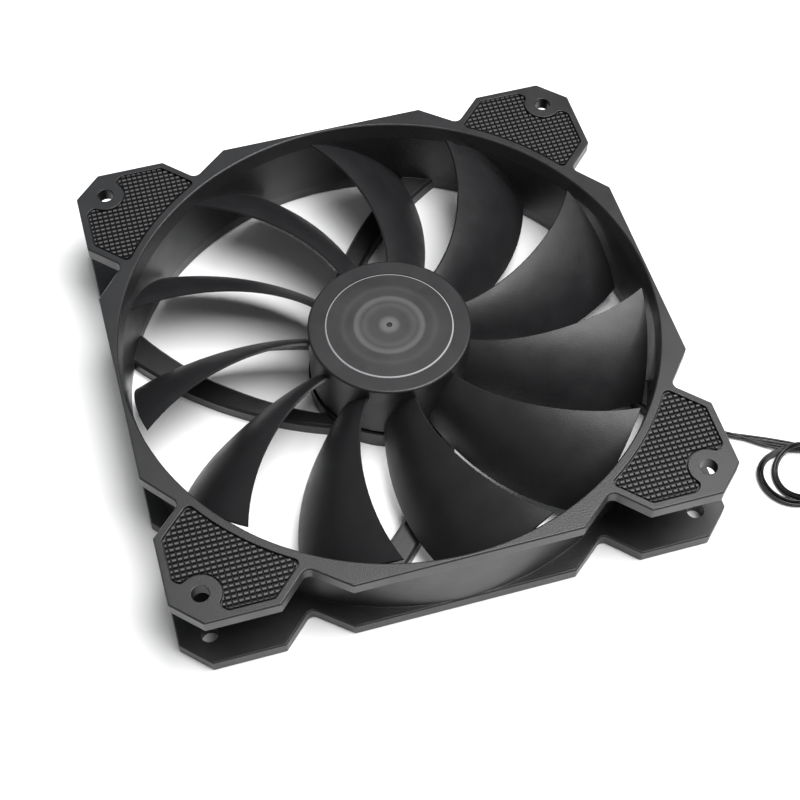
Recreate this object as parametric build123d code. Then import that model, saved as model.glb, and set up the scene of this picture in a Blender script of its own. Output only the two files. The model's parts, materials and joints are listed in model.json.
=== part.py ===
import os
from math import cos, hypot, pi, radians, sin, sqrt, tan

from build123d import *

# A 140 mm axial case fan, in millimetres. +Z is the fan's axis, towards its intake side.
# The origin is on the axis, in the plane of the rear (outlet) face.

# How far shapes that are joined into one reach into each other.
OVERLAP = 0.5

# ---- Frame ----
FRAME_SIDE = 140.0
FRAME_DEPTH = 25.0
HOLE_SPACING = 124.5
HOLE_RADIUS = 2.15
FLANGE_THICK = 3.8
FLANGE_EDGE = 0.3
CORNER_X = 63.06
EAR_X = 45.1
NOTCH_X = 37.4
NOTCH_DEPTH = 7.75
MID_X = 28.1
NOTCH_FILLET = 2.0
CORNER_FILLET = 0.6

RING_OUTER = 69.7
LIP_RADIUS = 69.0
LIP_DEPTH = 4.6
THROAT_RADIUS = 68.4
OUTLET_RADIUS = 68.8

BASE_RADIUS = 21.5
BASE_THICK = 3.4
BASE_RIM_TOP = 5.3
BASE_RIM_WALL = 1.1
BOSS_RADIUS = 5.5
BOSS_TOP = 7.4
BORE_FLOOR = 1.2
LABEL_RADIUS = 16.5
LABEL_GAP = 0.15
LABEL_RECESS = 0.35
LABEL_THICK = 0.25

STRUT_COUNT = 4
STRUT_HEIGHT = 4.0
STRUT_EDGE = 0.7
# The two edges of the strut that points to -X: (radius, angle) at the ring, half way, at the base.
STRUT_UPPER_EDGE = ((70.5, 152.8), (47.0, 167.6), (19.5, 210.0))
STRUT_LOWER_EDGE = ((70.5, 160.6), (47.0, 176.9), (19.5, 234.0))

# ---- Corner pads ----
PAD_THICK = 1.2
PAD_INSET = 2.3
PAD_GROOVE = 0.45
PAD_RING_RADIUS = 71.6
PAD_BOSS_RADIUS = 5.4
PAD_FILLET = 1.4

# ---- Bearing and shaft ----
HOLDER_OUTER = 4.0
HOLDER_INNER = 3.0
HOLDER_TOP = 19.0
SHAFT_RADIUS = 1.5
SHAFT_CLEARANCE = 0.03
SHAFT_GROOVE_DEPTH = 0.4
THRUST_THICK = 0.6
WASHER_THICK = 0.4
WASHER_BOTTOM = 2.5
SLEEVE_BOTTOM = 3.5
SLEEVE_TOP = 17.4
SEAL_THICK = 0.6
AXIAL_PLAY = 0.1

# ---- Stator and circuit board ----
POLE_COUNT = 4
CORE_BOTTOM = 9.0
CORE_TOP = 15.5
CORE_HUB_RADIUS = 6.4
CORE_SHOE_RADIUS = 14.6
CORE_TIP_RADIUS = 16.2
SHOE_ANGLE = 68.0
TOOTH_WIDTH = 4.0
INSULATOR_THICK = 0.7
INSULATOR_WALL = 0.8
INSULATOR_HEIGHT = 2.4
WINDING_INNER = 7.0
WINDING_OUTER = 13.1
WINDING_WIDTH = 8.0
WINDING_HEIGHT = 1.6
WINDING_ROUND = 1.2

BOARD_BOTTOM = 4.4
BOARD_THICK = 1.0
BOARD_INNER = 5.8
BOARD_OUTER = 20.0
# Components on the board: distance from the axis, angle, length, width, height.
HALL_SENSOR = (15.5, 135, 3.0, 1.6, 1.2)
DRIVER_CHIP = (11.0, 315, 3.9, 4.9, 1.1)
CAPACITOR = (11.5, 170, 2.0, 1.25, 1.1)
RESISTOR_SIZE = (1.6, 0.8, 0.5)
RESISTOR_RADIUS = 9.0
RESISTOR_ANGLES = (200, 215, 230, 245)
POST_RADIUS = 1.2
POST_CIRCLE = 12.5

# ---- Rotor ----
HUB_RADIUS = 21.0
HUB_TOP = 24.3
HUB_BOTTOM = 6.3
HUB_ROUND = 0.6
HUB_WALL_INNER = 19.65
YOKE_OUTER = 19.6
YOKE_TOP = 22.4
YOKE_WALL = 1.0
YOKE_BOTTOM = 6.9
MAGNET_WALL = 2.0
MAGNET_BOTTOM = 7.4
MAGNET_TOP = 18.5
BUSH_RADIUS = 4.4
BUSH_BOTTOM = 19.8
BADGE_RADIUS = 16.5
BADGE_GAP = 0.1
BADGE_THICK = 0.75
BADGE_RECESS = 0.7
BADGE_EDGE = 0.2

BLADE_COUNT = 11
BLADE_TIP_RADIUS = 67.0
BLADE_ROOT_RADIUS = 20.0
BLADE_MIDDLE_Z = 14.4
BLADE_CAMBER = 0.07
BLADE_EDGE = 0.6
# Sections from the hub outwards: radius, chord, pitch angle, forward sweep angle, thickness.
BLADE_SECTIONS = (
    (18.0, 14.5, 59.0, 0.0, 2.0),
    (31.0, 18.5, 54.0, 2.0, 1.8),
    (44.0, 23.0, 46.0, 7.0, 1.6),
    (57.0, 27.0, 39.0, 13.0, 1.4),
    (70.0, 31.0, 33.0, 20.0, 1.2),
)

# ---- Lead: four wires in the frame's channel, then a free bundle with a coil and a plug ----
WIRE_COUNT = 4
WIRE_RADIUS = 0.42
WIRE_PITCH = 0.95
CHANNEL_WIDTH = 4.3
CHANNEL_DEPTH = 2.2
CHANNEL_Z = 1.1
# Middle line of the channel in the strut that points to +X: (radius, angle), outer end first.
CHANNEL_LINE = ((74.4, -25.1), (47.0, -7.75), (18.0, 43.0))
CLIP_SHARE = 0.06
WINDOW_SHARE = 0.04
LEAD_DIAMETER = 1.9
LEAD_ROUTE = (
    (67.1, -31.2, 1.1),
    (73.5, -37.7, 1.0),
    (82.0, -42.0, 1.0),
    (89.4, -46.4, 1.0),
    (96.4, -50.1, 1.0),
)
COIL_CENTRE = (92.5, -58.9)
COIL_OUTER = 11.1
COIL_INNER = 6.3
COIL_HEIGHT = 4.6
TAIL_ROUTE = (
    (100.6, -53.9, 3.6),
    (105.0, -55.7, 3.1),
    (109.6, -56.4, 2.9),
)
TIE_ANGLE = -20.0
TIE_WIDTH = 3.0
TIE_THICK = 0.6
PLUG_START = (109.4, -56.4)
PLUG_LENGTH = 12.0
PLUG_WIDTH = 10.2
PLUG_HEIGHT = 5.8
PLUG_CHAMFER = 0.4
PLUG_RIB = (7.2, 0.8, 0.6)
PLUG_HOLE = 1.7
PLUG_HOLE_DEPTH = 8.0
PLUG_PITCH = 2.54
TERMINAL_WALL = 0.25
TERMINAL_SETBACK = 0.5

PARTS_FOLDER = "parts"


# ---- Small helpers ----
def polar(radius, angle):
    return (radius * cos(radians(angle)), radius * sin(radians(angle)))


def slab(sketch, low, high):
    return Pos(0, 0, low) * extrude(sketch, high - low)


def disc(radius, low, high):
    return slab(Circle(radius), low, high)


def tube(outer, inner, low, high):
    return slab(Circle(outer) - Circle(inner), low, high)


def turned(shape, count):
    """The shape and its copies, evenly turned round the fan's axis."""
    return [Rot(0, 0, 360 / count * i) * shape for i in range(count)]


def arc_through(points):
    return ThreePointArc(*[polar(radius, angle) for radius, angle in points])


def quarter_turns(points):
    """One side's corner points, repeated round the four sides."""
    outline = []
    for c, s in ((1, 0), (0, 1), (-1, 0), (0, -1)):
        outline += [(c * x - s * y, s * x + c * y) for x, y in points]
    return outline


# ---- Frame ----
def flange(low):
    """A square plate with notched sides; its corners are the fan's four ears."""
    half = FRAME_SIDE / 2
    side = [(CORNER_X, half), (EAR_X, half), (NOTCH_X, half - NOTCH_DEPTH), (MID_X, half)]
    side += [(-x, y) for x, y in reversed(side)]
    outline = make_face(Polyline(*quarter_turns(side), close=True))
    notch_reach = hypot(NOTCH_X, half - NOTCH_DEPTH) + OVERLAP
    outline = fillet([v for v in outline.vertices() if hypot(v.X, v.Y) < notch_reach], NOTCH_FILLET)
    outer_reach = hypot(MID_X, half) - OVERLAP
    outline = fillet([v for v in outline.vertices() if hypot(v.X, v.Y) > outer_reach], CORNER_FILLET)
    plate = slab(outline, low, low + FLANGE_THICK)
    levels = plate.edges().group_by(Axis.Z)
    plate = chamfer(levels[0] + levels[-1], FLANGE_EDGE)
    plate -= disc((RING_OUTER + LIP_RADIUS) / 2, low - 1, low + FLANGE_THICK + 1)
    half_spacing = HOLE_SPACING / 2
    for x, y in quarter_turns([(half_spacing, half_spacing)]):
        plate -= Pos(x, y, 0) * disc(HOLE_RADIUS, low - 1, low + FLANGE_THICK + 1)
    return plate


def ring():
    """The duct wall: a shallow cone from the lip into the throat, and a flared outlet."""
    top = FRAME_DEPTH
    profile = Polyline(
        (RING_OUTER, 0),
        (RING_OUTER, top),
        (LIP_RADIUS + FLANGE_EDGE, top),
        (LIP_RADIUS, top - FLANGE_EDGE),
        (THROAT_RADIUS, top - LIP_DEPTH),
        (THROAT_RADIUS, STRUT_HEIGHT),
        (OUTLET_RADIUS, FLANGE_EDGE),
        (OUTLET_RADIUS + FLANGE_EDGE, 0),
        close=True,
    )
    return revolve(Plane.XZ * make_face(profile), Axis.Z)


def strut():
    """The curved strut that points to -X. Its ends lie inside the ring wall and the base."""
    upper, lower = arc_through(STRUT_UPPER_EDGE), arc_through(STRUT_LOWER_EDGE)
    ends = [Line(upper @ end, lower @ end) for end in (0, 1)]
    bar = slab(make_face([upper, lower, *ends]), 0, STRUT_HEIGHT)
    top_edges = bar.edges().group_by(Axis.Z)[-1].filter_by(GeomType.CIRCLE)
    bar = chamfer(top_edges, STRUT_EDGE)
    return bar & disc((RING_OUTER + THROAT_RADIUS) / 2, -1, STRUT_HEIGHT + 1)


def motor_base():
    """A round plate with a rim, a boss for the bearing holder and posts for the board."""
    base = disc(BASE_RADIUS, 0, BASE_THICK)
    base += tube(BASE_RADIUS, BASE_RADIUS - BASE_RIM_WALL, BASE_THICK, BASE_RIM_TOP)
    base += disc(BOSS_RADIUS, BASE_THICK, BOSS_TOP)
    for post in turned(Pos(POST_CIRCLE, 0) * disc(POST_RADIUS, BASE_THICK, BOARD_BOTTOM), 3):
        base += post
    return base


def channel_arc():
    return arc_through(CHANNEL_LINE)


def channel_plan(first, last, round_ends=()):
    """A stretch of the channel, between two shares of its length."""
    plan = trace(channel_arc().trim(first, last), CHANNEL_WIDTH)
    for share in round_ends:
        end = channel_arc() @ share
        plan += Pos(end.X, end.Y) * Circle(CHANNEL_WIDTH / 2)
    return plan


def make_frame():
    frame = ring() + flange(0) + flange(FRAME_DEPTH - FLANGE_THICK)
    for bar in turned(strut(), STRUT_COUNT):
        frame += bar
    frame += motor_base()
    frame -= disc(HOLDER_OUTER, BORE_FLOOR, BOSS_TOP + 1)
    frame -= disc(LABEL_RADIUS + LABEL_GAP, -1, LABEL_RECESS)
    frame -= slab(channel_plan(0, 1, round_ends=(0, 1)), -1, CHANNEL_DEPTH)
    frame -= slab(channel_plan(1 - WINDOW_SHARE, 1, round_ends=(1,)), -1, BOARD_BOTTOM)
    for pocket in turned(slab(pad_outline(PAD_GROOVE), 0, PAD_THICK), 4):
        frame -= pocket
        frame -= Pos(0, 0, FRAME_DEPTH - PAD_THICK) * pocket
    return frame


# ---- Corner pads ----
def pad_outline(grow=0.0):
    """The pad of the ear at +X +Y, or the pocket round it when the outline grows."""
    inset = PAD_INSET - grow
    edge = FRAME_SIDE / 2 - inset
    slant_start = EAR_X + inset * (sqrt(2) - 1)
    depth = edge - THROAT_RADIUS / sqrt(2)
    diagonal = HOLE_SPACING + grow * sqrt(2)
    half = [(edge, diagonal - edge), (edge, slant_start), (edge - depth, slant_start - depth)]
    outline = make_face(Polyline(*half, *[(y, x) for x, y in reversed(half)], close=True))
    outline -= Circle(PAD_RING_RADIUS - grow)
    outline -= Pos(HOLE_SPACING / 2, HOLE_SPACING / 2) * Circle(PAD_BOSS_RADIUS - grow)
    return fillet(outline.vertices(), PAD_FILLET)


def make_pads():
    pad = slab(pad_outline(), 0, PAD_THICK)
    nodes = {}
    for number, rear in enumerate(turned(pad, 4), start=1):
        nodes[f"rear_pad_{number}"] = rear
        nodes[f"front_pad_{number}"] = Pos(0, 0, FRAME_DEPTH - PAD_THICK) * rear
    return nodes


# ---- Bearing ----
def make_bearing():
    bore = SHAFT_RADIUS + SHAFT_CLEARANCE
    thrust_top = BORE_FLOOR + THRUST_THICK
    washer_bore = SHAFT_RADIUS - SHAFT_GROOVE_DEPTH + AXIAL_PLAY
    return {
        "bearing_holder": tube(HOLDER_OUTER, HOLDER_INNER, BORE_FLOOR, HOLDER_TOP),
        "thrust_plate": disc(HOLDER_INNER, BORE_FLOOR, thrust_top),
        "retaining_washer": tube(HOLDER_INNER, washer_bore, WASHER_BOTTOM, WASHER_BOTTOM + WASHER_THICK),
        "sleeve_bearing": tube(HOLDER_INNER, bore, SLEEVE_BOTTOM, SLEEVE_TOP),
        "oil_seal": tube(HOLDER_INNER, bore + AXIAL_PLAY, SLEEVE_TOP, SLEEVE_TOP + SEAL_THICK),
        "rear_label": disc(LABEL_RADIUS, LABEL_RECESS - LABEL_THICK, LABEL_RECESS),
    }


# ---- Stator ----
def tooth_plan(tip_radius):
    """One tooth along +X, from the core's hub out to the given radius."""
    return Pos(tip_radius / 2, 0) * Rectangle(tip_radius, TOOTH_WIDTH) - Circle(CORE_HUB_RADIUS - OVERLAP)


def shoe_plan(inner, outer):
    """The curved shoe at the end of the tooth along +X."""
    half = radians(SHOE_ANGLE / 2)
    reach = outer * 1.5
    wedge = Polyline((0, 0), (reach * cos(half), reach * sin(half)), (reach * cos(half), -reach * sin(half)),
                     close=True)
    return (Circle(outer) - Circle(inner)) & make_face(wedge)


def insulator(plate_low, wall_low, wall_high):
    """A plastic cap on one end of the core, with a guard wall behind each shoe."""
    wall_inner = CORE_SHOE_RADIUS - INSULATOR_WALL
    arm = tooth_plan(CORE_SHOE_RADIUS) + shoe_plan(wall_inner, CORE_TIP_RADIUS)
    plate = Circle(CORE_HUB_RADIUS) - Circle(HOLDER_OUTER)
    for one in turned(arm, POLE_COUNT):
        plate += one
    cap = slab(plate, plate_low, plate_low + INSULATOR_THICK)
    for wall in turned(slab(shoe_plan(wall_inner, CORE_SHOE_RADIUS), wall_low, wall_high), POLE_COUNT):
        cap += wall
    return cap


def winding():
    """The copper wound round the tooth along +X."""
    low = CORE_BOTTOM - INSULATOR_THICK
    high = CORE_TOP + INSULATOR_THICK
    middle = ((WINDING_INNER + WINDING_OUTER) / 2, 0, (low + high) / 2)
    length = WINDING_OUTER - WINDING_INNER
    outer = Box(length, WINDING_WIDTH, high - low + 2 * WINDING_HEIGHT)
    outer = fillet(outer.edges().filter_by(Axis.X), WINDING_ROUND)
    return Pos(*middle) * (outer - Box(length + 1, TOOTH_WIDTH, high - low))


def make_stator():
    pole = tooth_plan(CORE_SHOE_RADIUS + OVERLAP) + shoe_plan(CORE_SHOE_RADIUS, CORE_TIP_RADIUS)
    core = Circle(CORE_HUB_RADIUS) - Circle(HOLDER_OUTER)
    for one in turned(pole, POLE_COUNT):
        core += one
    low = CORE_BOTTOM - INSULATOR_THICK
    nodes = {
        "stator_core": slab(core, CORE_BOTTOM, CORE_TOP),
        "lower_insulator": insulator(low, CORE_BOTTOM - INSULATOR_HEIGHT + INSULATOR_THICK, low),
        "upper_insulator": insulator(CORE_TOP, CORE_TOP + INSULATOR_THICK, CORE_TOP + INSULATOR_HEIGHT),
    }
    for number, coil in enumerate(turned(winding(), POLE_COUNT), start=1):
        nodes[f"winding_{number}"] = coil
    return nodes


# ---- Circuit board ----
def on_board(radius, angle, length, width, height):
    """A rectangular component that stands on the board."""
    x, y = polar(radius, angle)
    top = BOARD_BOTTOM + BOARD_THICK
    return Pos(x, y, top + height / 2) * Rot(0, 0, angle) * Box(length, width, height)


def wire_ends():
    """Where the four wires come up through the board."""
    arc = channel_arc()
    end = arc @ 1
    across = (arc % 1).rotate(Axis.Z, 90)
    shifts = [(i - (WIRE_COUNT - 1) / 2) * WIRE_PITCH for i in range(WIRE_COUNT)]
    return [(end.X + across.X * s, end.Y + across.Y * s) for s in shifts]


def make_board():
    top = BOARD_BOTTOM + BOARD_THICK
    board = tube(BOARD_OUTER, BOARD_INNER, BOARD_BOTTOM, top)
    dome = Sphere(WIRE_RADIUS) & disc(2 * WIRE_RADIUS, 0, WIRE_RADIUS)
    joints = [Pos(x, y, top) * dome for x, y in wire_ends()]
    resistors = [on_board(RESISTOR_RADIUS, angle, *RESISTOR_SIZE) for angle in RESISTOR_ANGLES]
    return {
        "circuit_board": board,
        "hall_sensor": on_board(*HALL_SENSOR),
        "driver_chip": on_board(*DRIVER_CHIP),
        "board_capacitor": on_board(*CAPACITOR),
        "board_resistors": Compound(resistors),
        "solder_joints": Compound(joints),
    }


# ---- Rotor ----
def hub():
    """The moulded cup over the motor, with a recess for the badge."""
    cup = disc(HUB_RADIUS, HUB_BOTTOM, HUB_TOP)
    cup = fillet(cup.edges().group_by(Axis.Z)[-1], HUB_ROUND)
    cup -= disc(HUB_WALL_INNER, HUB_BOTTOM - 1, YOKE_TOP)
    return cup - disc(BADGE_RADIUS + BADGE_GAP, HUB_TOP - BADGE_RECESS, HUB_TOP + 1)


def blade_section(radius, chord, pitch, sweep, thickness):
    """A cambered section, square to the radius. Its leading edge is up and ahead."""
    plane = Plane(origin=(*polar(radius, sweep), BLADE_MIDDLE_Z), x_dir=(*polar(1, sweep + 90), 0),
                  z_dir=(*polar(1, sweep), 0))
    rise = BLADE_CAMBER * chord
    lead, tail, edge = chord / 2, -chord / 2, BLADE_EDGE / 2
    upper = ThreePointArc((lead, edge), (0, rise + thickness / 2), (tail, edge))
    lower = ThreePointArc((tail, -edge), (0, rise - thickness / 2), (lead, -edge))
    outline = make_face([upper, lower, Line(upper @ 1, lower @ 0), Line(lower @ 1, upper @ 0)])
    return plane * Rot(0, 0, pitch) * outline


def blade():
    sections = [blade_section(*values) for values in BLADE_SECTIONS]
    body = loft(sections)
    return body & tube(BLADE_TIP_RADIUS, BLADE_ROOT_RADIUS, HUB_BOTTOM - 5, FRAME_DEPTH)


def make_rotor():
    impeller = hub()
    for one in turned(blade(), BLADE_COUNT):
        impeller += one
    yoke = disc(YOKE_OUTER, YOKE_BOTTOM, YOKE_TOP)
    yoke -= disc(YOKE_OUTER - YOKE_WALL, YOKE_BOTTOM - 1, YOKE_TOP - YOKE_WALL)
    yoke -= disc(BUSH_RADIUS, YOKE_BOTTOM, YOKE_TOP + 1)
    magnet_outer = YOKE_OUTER - YOKE_WALL
    badge = disc(BADGE_RADIUS, HUB_TOP - BADGE_RECESS, HUB_TOP - BADGE_RECESS + BADGE_THICK)
    badge = chamfer(badge.edges().group_by(Axis.Z)[-1], BADGE_EDGE)
    return {
        "impeller": impeller,
        "hub_badge": badge,
        "rotor_yoke": yoke,
        "ring_magnet": tube(magnet_outer, magnet_outer - MAGNET_WALL, MAGNET_BOTTOM, MAGNET_TOP),
        "shaft_bush": tube(BUSH_RADIUS, SHAFT_RADIUS, BUSH_BOTTOM, YOKE_TOP),
        "shaft": make_shaft(),
    }


def make_shaft():
    bottom = BORE_FLOOR + THRUST_THICK + AXIAL_PLAY / 2
    shaft = disc(SHAFT_RADIUS, bottom, YOKE_TOP)
    groove_low = WASHER_BOTTOM - AXIAL_PLAY
    groove_high = WASHER_BOTTOM + WASHER_THICK + AXIAL_PLAY
    return shaft - tube(SHAFT_RADIUS + 1, SHAFT_RADIUS - SHAFT_GROOVE_DEPTH, groove_low, groove_high)


# ---- Lead ----
def wire_arcs():
    """The middle lines of the four wires, side by side in the channel."""
    arc = channel_arc()
    centre, radius = arc.arc_center, arc.radius
    for index in range(WIRE_COUNT):
        scale = 1 + (index - (WIRE_COUNT - 1) / 2) * WIRE_PITCH / radius
        points = [centre + (arc @ share - centre) * scale for share in (0, 0.5, 1)]
        yield ThreePointArc(*points)


def make_inner_leads():
    wires = []
    for arc in wire_arcs():
        level = Pos(0, 0, CHANNEL_Z) * arc
        wire = sweep(Plane(origin=level @ 0, z_dir=level % 0) * Circle(WIRE_RADIUS), level)
        end = level @ 1
        wire += Pos(end.X, end.Y, CHANNEL_Z) * Sphere(WIRE_RADIUS)
        wire += Pos(end.X, end.Y, 0) * disc(WIRE_RADIUS, CHANNEL_Z, BOARD_BOTTOM)
        wires.append(wire)
    return wires


def make_clip(wires):
    """The rubber clip that holds the wires where the channel leaves the frame."""
    clip = slab(channel_plan(0, CLIP_SHARE), 0, CHANNEL_DEPTH)
    for wire in wires:
        clip -= wire
    return clip


def bend_radii(points):
    """For each corner of a route, the largest arc that both of its runs allow."""
    spots = [Vector(*point) for point in points]
    radii = []
    for before, corner, after in zip(spots, spots[1:], spots[2:]):
        runs = (corner - before, after - corner)
        shorter = min(run.length for run in runs)
        radii.append(0.45 * shorter / tan(radians(runs[0].get_angle(runs[1])) / 2))
    return radii


def lead_tube(name, points):
    radii = bend_radii(points)
    path = FilletPolyline(*points, radius=radii)
    body = sweep(Plane(origin=path @ 0, z_dir=path % 0) * Circle(LEAD_DIAMETER / 2), path)
    section = pi * (LEAD_DIAMETER / 2) ** 2
    print(name, "bend radii", [round(r, 1) for r in radii], "length", round(path.length, 1))
    print(name, "volume", round(body.volume, 2), "section x length", round(section * path.length, 2))
    return body


def make_plug():
    """A four-way female connector along +X, with its terminals."""
    housing = Box(PLUG_LENGTH, PLUG_WIDTH, PLUG_HEIGHT)
    housing = chamfer(housing.edges().filter_by(Axis.X), PLUG_CHAMFER)
    for side in (-1, 1):
        housing += Pos(0, side * PLUG_PITCH, PLUG_HEIGHT / 2) * Box(*PLUG_RIB)
    mouth = (PLUG_LENGTH - PLUG_HOLE_DEPTH) / 2
    inner = PLUG_HOLE - 2 * TERMINAL_WALL
    sleeve = Box(PLUG_HOLE_DEPTH - 2 * TERMINAL_SETBACK, PLUG_HOLE, PLUG_HOLE)
    sleeve -= Box(PLUG_HOLE_DEPTH, inner, inner)
    terminals = []
    for index in range(WIRE_COUNT):
        side = (index - (WIRE_COUNT - 1) / 2) * PLUG_PITCH
        housing -= Pos(mouth, side, 0) * Box(PLUG_HOLE_DEPTH, PLUG_HOLE, PLUG_HOLE)
        terminals.append(Pos(mouth - TERMINAL_SETBACK, side, 0) * sleeve)
    x, y = PLUG_START
    middle = Pos(x + PLUG_LENGTH / 2, y, PLUG_HEIGHT / 2)
    return middle * housing, Compound([middle * terminal for terminal in terminals])


def make_tie():
    """A band round the coil's section, level with the coil above and below."""
    width = COIL_OUTER - COIL_INNER
    band = Box(width + 2 * TIE_THICK, TIE_WIDTH, COIL_HEIGHT)
    band -= Box(width, TIE_WIDTH, COIL_HEIGHT - 2 * TIE_THICK)
    middle = Pos((COIL_OUTER + COIL_INNER) / 2, 0, COIL_HEIGHT / 2)
    return Pos(*COIL_CENTRE, 0) * Rot(0, 0, TIE_ANGLE) * middle * band


def make_lead():
    wires = make_inner_leads()
    clip_hull = slab(channel_plan(0, CLIP_SHARE), 0, STRUT_HEIGHT)
    coil = Pos(*COIL_CENTRE, 0) * tube(COIL_OUTER, COIL_INNER, 0, COIL_HEIGHT)
    coil_hull = Pos(*COIL_CENTRE, 0) * disc(COIL_OUTER, -1, COIL_HEIGHT + 1)
    tie = make_tie()
    plug, terminals = make_plug()
    return {
        "inner_leads": Compound(wires),
        "lead_clip": make_clip(wires),
        "lead": lead_tube("lead", LEAD_ROUTE) - clip_hull - coil_hull,
        "lead_coil": coil - tie,
        "lead_tie": tie,
        "lead_tail": lead_tube("tail", TAIL_ROUTE) - coil_hull - plug,
        "plug_housing": plug,
        "plug_terminals": terminals,
    }


def main():
    os.makedirs(PARTS_FOLDER, exist_ok=True)
    nodes = {"frame": make_frame()}
    for group in (make_pads, make_bearing, make_stator, make_board, make_rotor, make_lead):
        nodes.update(group())
    for name, shape in nodes.items():
        export_step(shape, f"{PARTS_FOLDER}/{name}.step")
    print(len(nodes), "nodes")


main()
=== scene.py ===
import json
from math import ceil, cos, pi, radians, sin

import bmesh
import bpy
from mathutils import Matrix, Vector


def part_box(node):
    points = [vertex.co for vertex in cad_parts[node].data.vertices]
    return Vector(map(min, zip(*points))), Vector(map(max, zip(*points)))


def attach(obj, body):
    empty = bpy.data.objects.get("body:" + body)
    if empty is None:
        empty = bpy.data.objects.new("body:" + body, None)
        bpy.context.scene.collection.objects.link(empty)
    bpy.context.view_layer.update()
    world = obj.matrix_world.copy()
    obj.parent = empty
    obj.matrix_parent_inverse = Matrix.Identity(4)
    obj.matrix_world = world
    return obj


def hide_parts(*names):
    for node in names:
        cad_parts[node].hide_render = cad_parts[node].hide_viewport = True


# A 140 mm case fan with its lead. Lengths are in metres; +Z is the fan's axis, towards its intake.

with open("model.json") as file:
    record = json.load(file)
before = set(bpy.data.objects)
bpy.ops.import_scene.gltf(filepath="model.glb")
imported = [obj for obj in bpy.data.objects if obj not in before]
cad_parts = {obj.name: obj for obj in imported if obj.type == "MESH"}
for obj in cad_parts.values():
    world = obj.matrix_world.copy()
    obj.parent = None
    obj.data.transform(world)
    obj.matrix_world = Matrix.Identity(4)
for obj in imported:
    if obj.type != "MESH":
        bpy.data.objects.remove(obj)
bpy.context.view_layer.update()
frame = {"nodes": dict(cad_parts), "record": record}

MM = 0.001
FRAME_DEPTH = 25.0 * MM
CORNERS = (1, 2, 3, 4)

# ---- Camera and light ----
CAMERA_PLACE = (-63.8 * MM, -234.4 * MM, 351.7 * MM)
CAMERA_AIM = (0.75 * MM, -7.35 * MM, 0.0)
CAMERA_LENS = 71.7
FLOOR_SIZE = 6.0
WORLD_STRENGTH = 0.25
# Each square lamp: its place, the point it is aimed at, its width, its power and its colour.
LAMPS = {
    "key": ((0.40, -0.12, 1.02), (0, 0, 0), 0.9, 25.5, (1, 1, 1)),
    "top": ((0.10, 0.27, 0.95), (0, -0.03, 0), 0.4, 1.0, (1, 1, 1)),
    "back": ((-0.15, 0.80, 0.60), (0, 0, 0), 0.5, 0.3, (0.75, 0.90, 1.0)),
}

# ---- Surfaces ----
# Scales of noise, in waves to the metre: slow changes of tone and of gloss, and the moulded grain.
TONE_SCALE = 55
METAL_TONE_SCALE = 90
GLOSS_SCALE = 180
METAL_GLOSS_SCALE = 400
GRAIN_SCALE = 2600
BRUSHED_SCALE = 1800
NOISE_ROUGHNESS = 0.55
GLOSS_CHANGE = 0.05
GRAIN_DEPTH = 0.16 * MM
FINE_GRAIN_DEPTH = 0.12 * MM
BRUSHED_DEPTH = 0.05 * MM
WINDING_PITCH = 0.35 * MM
WINDING_DEPTH = 0.06 * MM
FRAME_EDGE = 0.28 * MM
EDGE_SAMPLES = 8
# Printed rings, and a painted highlight on the badge's bevelled rim (the light ring from 16.2 to 16.6):
# (radius in millimetres, grey as a linear value).
BADGE_PRINT_AND_HIGHLIGHT = (
    (0.0, 0.008), (0.6, 0.010), (0.9, 0.085), (2.0, 0.070), (3.0, 0.026), (5.0, 0.024), (6.4, 0.040),
    (7.3, 0.026), (8.3, 0.060), (8.9, 0.058), (9.4, 0.018), (10.8, 0.018), (11.8, 0.026), (13.0, 0.014),
    # The light ring from 16.2 to 16.6 is a painted highlight on the badge's rim.
    (16.1, 0.012), (16.2, 0.300), (16.6, 0.300),
)
LABEL_RINGS = (
    (0.0, 0.026), (13.0, 0.028), (13.2, 0.40), (13.5, 0.40), (13.7, 0.028),
    (15.2, 0.028), (15.4, 0.40), (15.6, 0.40), (15.8, 0.028), (16.5, 0.026),
)

# ---- Corner pads ----
PAD_PITCH = 1.42 * MM
PAD_DEPTH = 0.60 * MM
PAD_SKIRT = 2.0 * MM
# Half widths of one pyramid along X and Y, at its foot and at its flat tip, as shares of the pitch.
PAD_FOOT = (0.46, 0.44)
PAD_TIP = (0.33, 0.13)
# Painted shade and highlight on the pads: how high on a pyramid its painted dark foot ends and its
# painted light tip starts, as shares of its height.
PAD_SHADE = (0.6, 0.97)

# ---- Hub badge ----
BADGE_SEGMENTS = 192
BADGE_BEVEL = 0.22 * MM
DIMPLE_DEPTH = 0.3 * MM
DIMPLE_FLOOR = 0.5 * MM
DIMPLE_RIM = 0.8 * MM

# ---- Lead ----
LEAD_DIAMETER = 1.9 * MM
WIRE_RADIUS = 0.33 * MM
WIRE_COUNT = 4
WIRE_SIDES = 14
WIRE_PITCH = 0.95 * MM
SPREAD_PITCH = 0.82 * MM
SWAY = 0.7 * MM
# Along the lead: the wires gather, then spread and close again before the coil, and part at the plug.
GATHER = (0.5 * MM, 6.0 * MM)
SPREAD = (15.0 * MM, 30.0 * MM)
CLOSE = (32.0 * MM, 42.0 * MM)
PLUG_FAN = 6.0 * MM
TERMINAL_PITCH = 2.54 * MM
# In the bundle each wire waves and turns slowly, and all four stand further apart in the wide turn.
BUNDLE_REACH = 1.43 * WIRE_RADIUS
WAVE = 0.12
WAVE_LENGTH = 9.0 * MM
WAVE_SHIFT = 1.7
TWIST = 0.4
TWIST_LENGTH = 17.0 * MM
WIDE_LOOSE = 0.45
WIDE_START = (32.0 * MM, 41.0 * MM)
WIDE_END = (71.0 * MM, 80.0 * MM)
LEAD_ROUTE = (
    (67.1, -31.2, 1.1),
    (73.5, -37.7, 1.0),
    (82.0, -42.0, 1.0),
    (89.4, -46.4, 1.0),
    (96.4, -50.1, 1.0),
)
TAIL_ROUTE = (
    (100.6, -53.9, 3.6),
    (105.0, -55.7, 3.1),
    (109.6, -56.4, 2.9),
)
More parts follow.
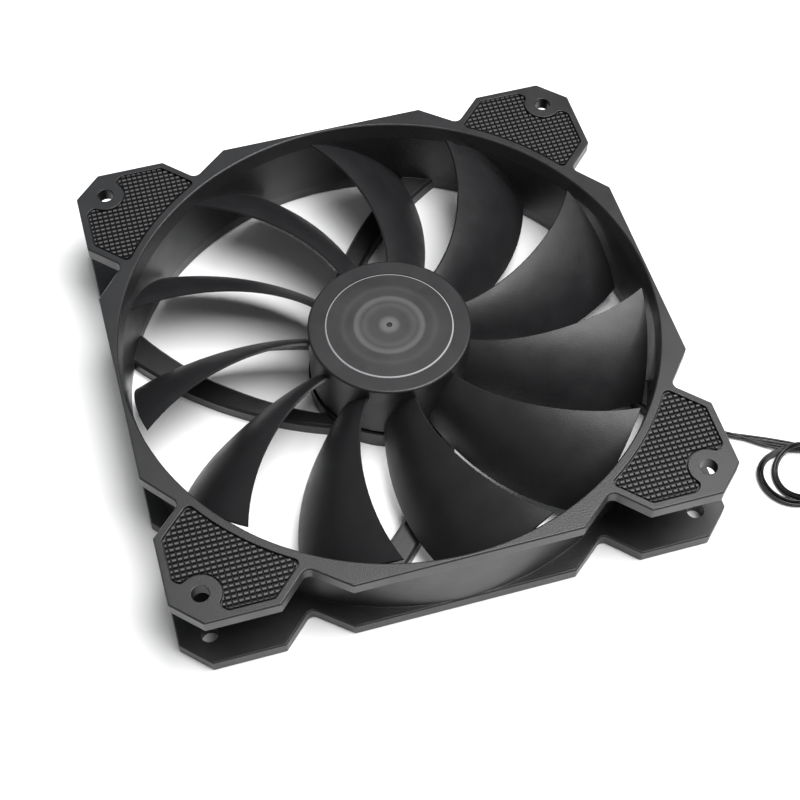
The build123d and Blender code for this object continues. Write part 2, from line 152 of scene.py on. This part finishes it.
# The coil: one wide turn, then one round a second centre. Angles are in degrees, clockwise from above.
COIL_START = 62.0
COIL_TURNS = 2
COIL_STEP = 22.5
WIDE_TURN = (91.8, -57.8, 8.8)
INNER_TURN = (94.6, -58.6, 8.0)
FLOOR_GAP = 0.85
# Degrees travelled: where the lead moves to the inner turn, climbs over the wide one, and rises to leave.
INWARD = (270, 360)
CLIMB = (270, 330)
LEAVE = (610, 685)
LAYER_RISE = 1.35
# The hump over the wide turn, and how far from its middle it starts to fall and is down, in degrees.
CROSSING_ANGLE = -20.0
CROSSING_LIFT = 1.35
CROSSING_EDGE = (100, 135)
TIE_WIDTH = 2.6 * MM
TIE_THICK = 0.5 * MM
TIE_TAPER = 0.86
TIE_CORNER = 1.1 * MM
TIE_CORNER_STEPS = 6
TIE_ROOM = 0.15 * MM
TIE_LIFT = 0.02 * MM
TIE_REACH = 1.5 * MM


# ---- Small helpers ----
def metres(points):
    return [Vector(point) * MM for point in points]


def mesh_data(name, mesh):
    """Mesh data from a closed bmesh, with its faces turned outwards."""
    bmesh.ops.recalc_face_normals(mesh, faces=mesh.faces)
    data = bpy.data.meshes.new(name)
    mesh.to_mesh(data)
    mesh.free()
    return data


def join_rings(mesh, ring, following):
    """The strip of four-sided faces between two rings of corners."""
    count = len(ring)
    for k in range(count):
        n = (k + 1) % count
        mesh.faces.new((ring[k], ring[n], following[n], following[k]))


def link(name, data, body="root", material=None):
    """A new piece from mesh or curve data, riding on a CAD body."""
    piece = bpy.data.objects.new(name, data)
    bpy.context.scene.collection.objects.link(piece)
    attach(piece, body)
    if material:
        data.materials.clear()
        data.materials.append(material)
    return piece


# ---- Materials ----
class Shader:
    """A material's node tree, with short calls for the nodes that the materials share."""

    def __init__(self, name, roughness=0.5, metallic=0.0, specular=0.5):
        self.material = bpy.data.materials.new(name)
        self.material.use_nodes = True
        self.nodes = self.material.node_tree.nodes
        self.links = self.material.node_tree.links
        self.surface = self.nodes["Principled BSDF"]
        self.surface.inputs["Roughness"].default_value = roughness
        self.surface.inputs["Metallic"].default_value = metallic
        self.surface.inputs["Specular IOR Level"].default_value = specular
        self.place = self.nodes.new("ShaderNodeTexCoord").outputs["Object"]

    def noise(self, scale, detail=3):
        node = self.nodes.new("ShaderNodeTexNoise")
        node.inputs["Scale"].default_value = scale
        node.inputs["Detail"].default_value = detail
        node.inputs["Roughness"].default_value = NOISE_ROUGHNESS
        self.links.new(self.place, node.inputs["Vector"])
        return node.outputs["Fac"]

    def ramp(self, value, low, high, start=0.3, end=0.7):
        node = self.nodes.new("ShaderNodeMapRange")
        node.inputs["From Min"].default_value = start
        node.inputs["From Max"].default_value = end
        node.inputs["To Min"].default_value = low
        node.inputs["To Max"].default_value = high
        self.links.new(value, node.inputs["Value"])
        return node.outputs["Result"]

    def colours(self, value, dark, light, start=0.3, end=0.7):
        node = self.nodes.new("ShaderNodeValToRGB")
        node.color_ramp.elements[0].position = start
        node.color_ramp.elements[0].color = (*dark, 1)
        node.color_ramp.elements[1].position = end
        node.color_ramp.elements[1].color = (*light, 1)
        self.links.new(value, node.inputs["Fac"])
        return node.outputs["Color"]

    def bump(self, height, strength, distance):
        node = self.nodes.new("ShaderNodeBump")
        node.inputs["Strength"].default_value = strength
        node.inputs["Distance"].default_value = distance
        self.links.new(height, node.inputs["Height"])
        previous = self.surface.inputs["Normal"].links
        if previous:
            self.links.new(previous[0].from_socket, node.inputs["Normal"])
        self.links.new(node.outputs["Normal"], self.surface.inputs["Normal"])

    def grain(self, strength, depth=FINE_GRAIN_DEPTH):
        """The fine grain that a spark-eroded mould leaves."""
        self.bump(self.noise(GRAIN_SCALE, 2), strength, depth)

    def vary_gloss(self, roughness):
        """Slow changes of roughness, to either side of this value."""
        low, high = roughness - GLOSS_CHANGE, roughness + GLOSS_CHANGE
        self.set("Roughness", self.ramp(self.noise(GLOSS_SCALE), low, high))

    def soften(self, radius):
        """Shade the sharp edges as if they were rounded to this radius."""
        node = self.nodes.new("ShaderNodeBevel")
        node.samples = EDGE_SAMPLES
        node.inputs["Radius"].default_value = radius
        self.links.new(node.outputs["Normal"], self.surface.inputs["Normal"])

    def set(self, socket, value):
        self.links.new(value, self.surface.inputs[socket])


def moulded(name, dark, light, roughness, grain=0.35, specular=0.5, edge=0):
    """Moulded plastic or rubber: a fine grain over slow changes of tone and gloss."""
    shader = Shader(name, roughness, specular=specular)
    if edge:
        shader.soften(edge)
    shader.set("Base Color", shader.colours(shader.noise(TONE_SCALE, 4), dark, light))
    shader.vary_gloss(roughness)
    shader.grain(grain, GRAIN_DEPTH)
    return shader.material


def metal(name, dark, light, roughness):
    """Bare metal, faintly uneven in tone, gloss and surface."""
    shader = Shader(name, roughness, metallic=1.0)
    shader.set("Base Color", shader.colours(shader.noise(METAL_TONE_SCALE, 4), dark, light))
    gloss = shader.ramp(shader.noise(METAL_GLOSS_SCALE), roughness - 0.06, roughness + 0.08)
    shader.set("Roughness", gloss)
    shader.bump(shader.noise(BRUSHED_SCALE, 2), 0.15, BRUSHED_DEPTH)
    return shader.material


def ringed(name, rings, roughness):
    """Plastic or foil with rings round the fan's axis, from (radius, grey) pairs: printed rings, and on
    the badge also a painted highlight at its rim.
    """
    shader = Shader(name, roughness)
    flat = shader.nodes.new("ShaderNodeVectorMath")
    flat.operation = "MULTIPLY"
    flat.inputs[1].default_value = (1, 1, 0)
    shader.links.new(shader.place, flat.inputs[0])
    radius = shader.nodes.new("ShaderNodeVectorMath")
    radius.operation = "LENGTH"
    shader.links.new(flat.outputs["Vector"], radius.inputs[0])
    outer = rings[-1][0]
    share = shader.ramp(radius.outputs["Value"], 0, 1, 0, outer * MM)
    colours = shader.nodes.new("ShaderNodeValToRGB")
    stops = colours.color_ramp.elements
    stops[1].position = 1.0
    for ring, _ in rings[1:-1]:
        stops.new(ring / outer)
    for stop, (_, grey) in zip(stops, rings):
        stop.color = (grey, grey, grey * 1.03, 1)
    shader.links.new(share, colours.inputs["Fac"])
    shader.set("Base Color", colours.outputs["Color"])
    shader.vary_gloss(roughness)
    shader.grain(0.1)
    return shader.material


def grip_with_painted_light(name, dark, light, roughness):
    """Rubber with painted shade in the grooves between the pyramids and a painted highlight on their
    tips.
    """
    shader = Shader(name, roughness, specular=0.35)
    parts = shader.nodes.new("ShaderNodeSeparateXYZ")
    shader.links.new(shader.place, parts.inputs["Vector"])
    half = FRAME_DEPTH / 2
    level = parts.outputs["Z"]
    # The distance from the frame's middle plane, so that front and rear pads get the same painted shade
    # and highlight.
    for operation in ("SUBTRACT", "ABSOLUTE"):
        node = shader.nodes.new("ShaderNodeMath")
        node.operation = operation
        node.inputs[1].default_value = half
        shader.links.new(level, node.inputs[0])
        level = node.outputs["Value"]
    share = shader.ramp(level, 0, 1, half - PAD_DEPTH, half)
    # Painted shade at the pyramids' feet and a painted highlight on their tips, by height.
    shader.set("Base Color", shader.colours(share, dark, light, *PAD_SHADE))
    shader.vary_gloss(roughness)
    shader.grain(0.2)
    return shader.material


def wound(name, dark, light):
    """Enamelled wire, wound in close turns round each tooth."""
    shader = Shader(name, 0.3, metallic=1.0)
    shader.set("Base Color", shader.colours(shader.noise(METAL_TONE_SCALE, 4), dark, light))
    distance = shader.nodes.new("ShaderNodeVectorMath")
    distance.operation = "LENGTH"
    shader.links.new(shader.place, distance.inputs[0])
    turns = shader.nodes.new("ShaderNodeMath")
    turns.operation = "SINE"
    scaled = shader.nodes.new("ShaderNodeMath")
    scaled.operation = "MULTIPLY"
    scaled.inputs[1].default_value = 2 * pi / WINDING_PITCH
    shader.links.new(distance.outputs["Value"], scaled.inputs[0])
    shader.links.new(scaled.outputs["Value"], turns.inputs[0])
    shader.bump(turns.outputs["Value"], 0.8, WINDING_DEPTH)
    return shader.material


MATERIALS = {
    "frame_plastic": moulded(
        "frame_plastic", (0.010, 0.010, 0.011), (0.014, 0.014, 0.015), 0.37, edge=FRAME_EDGE),
    "impeller_plastic": moulded(
        "impeller_plastic", (0.008, 0.008, 0.009), (0.012, 0.012, 0.013), 0.40, 0.15, specular=0.4),
    # The badge: printed rings, and a painted highlight on its rim.
    "badge_plastic": ringed("badge_plastic", BADGE_PRINT_AND_HIGHLIGHT, 0.35),
    "dark_plastic": moulded("dark_plastic", (0.030, 0.030, 0.030), (0.045, 0.045, 0.045), 0.5),
    "insulator_plastic": moulded("insulator_plastic", (0.60, 0.58, 0.52), (0.70, 0.68, 0.62), 0.45),
    "component_black": moulded("component_black", (0.020, 0.020, 0.020), (0.035, 0.035, 0.035), 0.55),
    "component_tan": moulded("component_tan", (0.36, 0.26, 0.15), (0.46, 0.34, 0.20), 0.4),
    "board": moulded("board", (0.012, 0.085, 0.030), (0.02, 0.12, 0.045), 0.3, 0.1),
    "label": ringed("label", LABEL_RINGS, 0.4),
    "plug_plastic": moulded("plug_plastic", (0.016, 0.016, 0.016), (0.026, 0.026, 0.026), 0.38, 0.2),
    # Pad rubber with painted shade in its grooves and a painted highlight on its tips.
    "pad_rubber": grip_with_painted_light("pad_rubber", (0.002, 0.002, 0.002), (0.080, 0.077, 0.080), 0.36),
    "wire": moulded("wire", (0.005, 0.005, 0.005), (0.008, 0.008, 0.008), 0.18, 0.02, specular=0.3),
    "magnet": moulded("magnet", (0.05, 0.045, 0.042), (0.075, 0.07, 0.065), 0.6),
    "brass": metal("brass", (0.60, 0.42, 0.16), (0.74, 0.54, 0.24), 0.32),
    "bronze": metal("bronze", (0.38, 0.24, 0.11), (0.50, 0.33, 0.16), 0.5),
    "copper_wire": wound("copper_wire", (0.55, 0.20, 0.07), (0.70, 0.30, 0.12)),
    "core_steel": metal("core_steel", (0.32, 0.32, 0.33), (0.42, 0.42, 0.43), 0.45),
    "yoke_steel": metal("yoke_steel", (0.45, 0.45, 0.46), (0.56, 0.56, 0.57), 0.35),
    "shaft_steel": metal("shaft_steel", (0.58, 0.58, 0.60), (0.68, 0.68, 0.70), 0.2),
    "solder": metal("solder", (0.62, 0.62, 0.63), (0.74, 0.74, 0.75), 0.25),
    "terminal_metal": metal("terminal_metal", (0.66, 0.58, 0.40), (0.78, 0.70, 0.50), 0.3),
}

for part in frame["record"]["subparts"]:
    data = frame["nodes"][part["node"]].data
    data.materials.clear()
    data.materials.append(MATERIALS[part["material_slot"]])


# ---- Camera, floor and light ----
def make_camera():
    camera = bpy.data.objects.new("camera", bpy.data.cameras.new("camera"))
    bpy.context.scene.collection.objects.link(camera)
    camera.location = CAMERA_PLACE
    look = Vector(CAMERA_AIM) - Vector(CAMERA_PLACE)
    camera.rotation_euler = look.to_track_quat("-Z", "Y").to_euler()
    camera.data.lens = CAMERA_LENS
    camera.data.sensor_width = 36
    camera.data.clip_start = 0.01
    bpy.context.scene.camera = camera


def make_floor():
    mesh = bpy.data.meshes.new("floor")
    half = FLOOR_SIZE / 2
    corners = [(-half, -half, 0), (half, -half, 0), (half, half, 0), (-half, half, 0)]
    mesh.from_pydata(corners, [], [(0, 1, 2, 3)])
    floor = bpy.data.objects.new("floor", mesh)
    bpy.context.scene.collection.objects.link(floor)
    shader = Shader("floor", 0.6)
    shader.set("Base Color", shader.colours(shader.noise(3, 2), (0.93, 0.93, 0.93), (0.95, 0.95, 0.95)))
    mesh.materials.append(shader.material)


def make_lamp(name, place, aim, width, power, colour):
    lamp = bpy.data.lights.new(name, "AREA")
    lamp.shape = "SQUARE"
    lamp.size = width
    lamp.energy = power
    lamp.color = colour
    light = bpy.data.objects.new(name, lamp)
    bpy.context.scene.collection.objects.link(light)
    light.location = place
    light.rotation_euler = (Vector(aim) - Vector(place)).to_track_quat("-Z", "Y").to_euler()


def make_light():
    world = bpy.data.worlds.new("world")
    bpy.context.scene.world = world
    world.use_nodes = True
    background = world.node_tree.nodes["Background"]
    background.inputs["Color"].default_value = (1, 1, 1, 1)
    background.inputs["Strength"].default_value = WORLD_STRENGTH
    for name, values in LAMPS.items():
        make_lamp(name, *values)
    # Standard keeps the lit floor white.
    bpy.context.scene.view_settings.view_transform = "Standard"


# ---- Corner pads ----
def oblong(mesh, centre, half, height):
    """Four corners round a point, at one height. half is half the width along X and Y, in pitches."""
    signs = ((-1, -1), (1, -1), (1, 1), (-1, 1))
    across, along = half[0] * PAD_PITCH, half[1] * PAD_PITCH
    return [mesh.verts.new((centre.x + across * x, centre.y + along * y, height)) for x, y in signs]


def pyramid_field(middle, width, top):
    """A closed block whose upper side is a square grid of small blunt pyramids."""
    mesh = bmesh.new()
    count = ceil(width / PAD_PITCH) + 1
    low = top - PAD_DEPTH
    start = count * PAD_PITCH / 2
    corners = {}
    for i in range(count + 1):
        for j in range(count + 1):
            x, y = middle.x - start + i * PAD_PITCH, middle.y - start + j * PAD_PITCH
            corners[i, j] = mesh.verts.new((x, y, low))
    for i in range(count):
        for j in range(count):
            cell = [corners[i, j], corners[i + 1, j], corners[i + 1, j + 1], corners[i, j + 1]]
            centre = (cell[0].co + cell[2].co) / 2
            foot = oblong(mesh, centre, PAD_FOOT, low)
            tip = oblong(mesh, centre, PAD_TIP, top)
            join_rings(mesh, cell, foot)
            join_rings(mesh, foot, tip)
            mesh.faces.new(tip)
    close_below(mesh, low - PAD_SKIRT)
    return mesh


def close_below(mesh, level):
    """Take the open rim straight down to a level, and close it there."""
    rim = [edge for edge in mesh.edges if edge.is_boundary]
    wall = bmesh.ops.extrude_edge_only(mesh, edges=rim)["geom"]
    for part in wall:
        if isinstance(part, bmesh.types.BMVert):
            part.co.z = level
    bmesh.ops.contextual_create(mesh, geom=[edge for edge in mesh.edges if edge.is_boundary])


def make_pad(node, side):
    """A rubber pad: the outline of its CAD solid, cut from a grid of pyramids. side is 1 in front."""
    low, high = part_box(node)
    top = high.z if side > 0 else -low.z
    field = pyramid_field((low + high) / 2, max(high.x - low.x, high.y - low.y), top)
    for vertex in field.verts:
        vertex.co.z *= side
    piece = link(node + "_grip", mesh_data(node + "_grip", field))
    cut = piece.modifiers.new("outline", "BOOLEAN")
    cut.operation = "INTERSECT"
    cut.solver = "EXACT"
    cut.object = frame["nodes"][node]
    finished = bpy.data.meshes.new_from_object(
        piece.evaluated_get(bpy.context.evaluated_depsgraph_get()))
    piece.modifiers.clear()
    piece.data = finished
    finished.materials.clear()
    finished.materials.append(MATERIALS["pad_rubber"])
    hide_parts(node)


# ---- Hub badge ----
def turned_mesh(name, section, segments):
    """A closed solid of revolution round the fan's axis, from (radius, height) points."""
    mesh = bmesh.new()
    rings = []
    for radius, height in section:
        turns = [2 * pi * i / segments for i in range(segments if radius else 1)]
        rings.append([mesh.verts.new((radius * cos(t), radius * sin(t), height)) for t in turns])
    for inner, outer in zip(rings, rings[1:]):
        for i in range(segments):
            j = (i + 1) % segments
            corners = [inner[i % len(inner)], outer[i % len(outer)]]
            corners += [outer[j % len(outer)], inner[j % len(inner)]]
            # A ring of one point, on the axis, gives the same corner twice.
            mesh.faces.new(list(dict.fromkeys(corners)))
    return mesh_data(name, mesh)


def make_badge():
    """The disc in the hub, with a bevelled rim and a small dimple in the middle."""
    low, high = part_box("hub_badge")
    radius, top = high.x, high.z
    section = (
        (0, top - DIMPLE_DEPTH),
        (DIMPLE_FLOOR, top - DIMPLE_DEPTH),
        (DIMPLE_RIM, top),
        (radius - BADGE_BEVEL, top),
        (radius, top - BADGE_BEVEL),
        (radius, low.z),
        (0, low.z),
    )
    data = turned_mesh("hub_badge_face", section, BADGE_SEGMENTS)
    badge = link("hub_badge_face", data, "rotor", MATERIALS["badge_plastic"])
    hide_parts("hub_badge")


# ---- Lead ----
def step(value, start, end):
    """From 0 at start to 1 at end, smoothly. It falls where start is the greater."""
    share = max(0.0, min(1.0, (value - start) / (end - start)))
    return share * share * (3 - 2 * share)


def coil_points():
    """The turns of the coil, in millimetres: the wide one lies flat, and the inner one crosses it."""
    points = []
    count = int(COIL_TURNS * 360 / COIL_STEP)
    for i in range(1, count):
        travelled = i * COIL_STEP
        angle = COIL_START - travelled
        inward = step(travelled, *INWARD)
        x, y, radius = [a + (b - a) * inward for a, b in zip(WIDE_TURN, INNER_TURN)]
        away = abs((angle - CROSSING_ANGLE + 180) % 360 - 180)
        lift = CROSSING_LIFT * (1 - step(away, *CROSSING_EDGE)) * step(travelled, *CLIMB)
        rise = LAYER_RISE * step(travelled, *LEAVE)
        turn = radians(angle)
        points.append((x + radius * cos(turn), y + radius * sin(turn), FLOOR_GAP + lift + rise))
    return points


def lead_curve():
    """The lead's middle line, one smooth curve from the clip to the plug."""
    route = [*LEAD_ROUTE, *coil_points(), *TAIL_ROUTE]
    curve = bpy.data.curves.new("lead_line", "CURVE")
    curve.dimensions = "3D"
    curve.resolution_u = 8
    spline = curve.splines.new("NURBS")
    spline.points.add(len(route) - 1)
    for point, place in zip(spline.points, metres(route)):
        point.co = (*place, 1)
    spline.order_u = 3
    spline.use_endpoint_u = True
    return curve


def read_line(curve):
    """The points of a curve with no bevel, as Blender draws it."""
    holder = bpy.data.objects.new("line", curve)
    mesh = bpy.data.meshes.new_from_object(holder)
    points = [v.co.copy() for v in mesh.vertices]
    bpy.data.objects.remove(holder)
    bpy.data.meshes.remove(mesh)
    return points


def distances(points):
    """How far along the line each point is."""
    along = [0.0]
    for before, after in zip(points, points[1:]):
        along.append(along[-1] + (after - before).length)
    return along


def frames_along(points):
    """At each point of the line, the way across it and the way up from it."""
    result = []
    for i in range(len(points)):
        ahead = points[min(i + 1, len(points) - 1)] - points[max(i - 1, 0)]
        across = Vector((0, 0, 1)).cross(ahead).normalized()
        result.append((across, ahead.cross(across).normalized()))
    return result


def bundle_offset(number, s):
    """How far a wire is to the side of the lead's middle line, and above it, at a distance along it."""
    rank = number - (WIRE_COUNT - 1) / 2
    gather = step(s, *GATHER)
    spread = step(s, *SPREAD) * (1 - step(s, *CLOSE))
    loose = 1 + WAVE * sin(s / WAVE_LENGTH + WAVE_SHIFT * number)
    loose += WIDE_LOOSE * step(s, *WIDE_START) * (1 - step(s, *WIDE_END))
    turn = radians(45 + 90 * number) + TWIST * sin(s / TWIST_LENGTH)
    reach = BUNDLE_REACH * loose * (1 - spread) * gather
    sideways = rank * (WIRE_PITCH * (1 - gather) + SPREAD_PITCH * spread) + reach * cos(turn)
    sideways -= SWAY * step(s, 0, SPREAD[0]) * (1 - step(s, *CLOSE))
    return sideways, reach * sin(turn)


def wire_line(points, number):
    """One wire's middle line: side by side in the clip, then two by two, and apart at the plug."""
    along = distances(points)
    slot = TERMINAL_PITCH * (number - (WIRE_COUNT - 1) / 2)
    line = []
    for point, s, (across, up) in zip(points, along, frames_along(points)):
        sideways, upwards = bundle_offset(number, s)
        bundled = step(s, along[-1], along[-1] - PLUG_FAN)
        place = point + across * (slot * (1 - bundled) + sideways * bundled) + up * upwards * bundled
        place.z = max(place.z, WIRE_RADIUS)
        line.append(place)
    return line


def add_tube(mesh, line, radius, sides):
    """A closed round tube along a line of points."""
    turns = [2 * pi * k / sides for k in range(sides)]
    rings = []
    for point, (across, up) in zip(line, frames_along(line)):
        rings.append([mesh.verts.new(point + (across * cos(t) + up * sin(t)) * radius) for t in turns])
    for ring, following in zip(rings, rings[1:]):
        join_rings(mesh, ring, following)
    mesh.faces.new(rings[0])
    mesh.faces.new(reversed(rings[-1]))


def add_wires(name, lines):
    """One piece made of a tube along each line."""
    mesh = bmesh.new()
    for line in lines:
        add_tube(mesh, line, WIRE_RADIUS, WIRE_SIDES)
    data = mesh_data(name, mesh)
    for face in data.polygons:
        face.use_smooth = True
    return link(name, data, material=MATERIALS["wire"])


def make_lead():
    """The four wires on the lead's middle line: the cord, then the ends that fan out into the plug."""
    line = read_line(lead_curve())
    along = distances(line)
    cut = next(i for i, s in enumerate(along) if s > along[-1] - PLUG_FAN)
    lines = [wire_line(line, number) for number in range(WIRE_COUNT)]
    wires = add_wires("lead_wires", [wire[:cut + 1] for wire in lines])
    ends = add_wires("lead_wire_ends", [wire[cut:] for wire in lines])
    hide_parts("lead", "lead_coil", "lead_tail")
    tie = make_tie(line)


def rounded_section(left, right, low, high):
    """A rectangle with round corners, as (across, up) points."""
    points = []
    corners = ((right, high, 0), (left, high, 90), (left, low, 180), (right, low, 270))
    for x, z, start in corners:
        centre_x = x - TIE_CORNER if x == right else x + TIE_CORNER
        centre_z = z - TIE_CORNER if z == high else z + TIE_CORNER
        for k in range(TIE_CORNER_STEPS + 1):
            turn = radians(start + 90 * k / TIE_CORNER_STEPS)
            points.append((centre_x + TIE_CORNER * cos(turn), centre_z + TIE_CORNER * sin(turn)))
    return points


def make_tie(line):
    """A soft band round all the turns, at the coil's far side. Its outer face is a little narrower."""
    centre = Vector((*WIDE_TURN[:2], 0)) * MM
    outward = Vector((cos(radians(CROSSING_ANGLE)), sin(radians(CROSSING_ANGLE)), 0))
    sideways = Vector((-outward.y, outward.x, 0))
    places = [point - centre for point in line]
    near = [p for p in places if abs(p @ sideways) < TIE_REACH and p @ outward > 0]
    room = LEAD_DIAMETER / 2 + TIE_ROOM
    left = min(p @ outward for p in near) - room
    right = max(p @ outward for p in near) + room
    top = max(p.z for p in near) + room
    inner = rounded_section(left, right, TIE_LIFT, top)
    outer = rounded_section(left - TIE_THICK, right + TIE_THICK, 0, top + TIE_THICK)
    wide, narrow = TIE_WIDTH / 2, TIE_TAPER * TIE_WIDTH / 2
    mesh = bmesh.new()
    rings = []
    for section, side in ((inner, -wide), (inner, wide), (outer, narrow), (outer, -narrow)):
        edge = centre + sideways * side
        rings.append([mesh.verts.new(edge + outward * a + Vector((0, 0, z))) for a, z in section])
    for ring, following in zip(rings, rings[1:] + rings[:1]):
        join_rings(mesh, ring, following)
    data = mesh_data("lead_band", mesh)
    band = link("lead_band", data, material=MATERIALS["dark_plastic"])
    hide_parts("lead_tie")
    return band


make_camera()
make_floor()
make_light()
make_lead()
make_badge()
for number in CORNERS:
    make_pad(f"front_pad_{number}", 1)
    make_pad(f"rear_pad_{number}", -1)
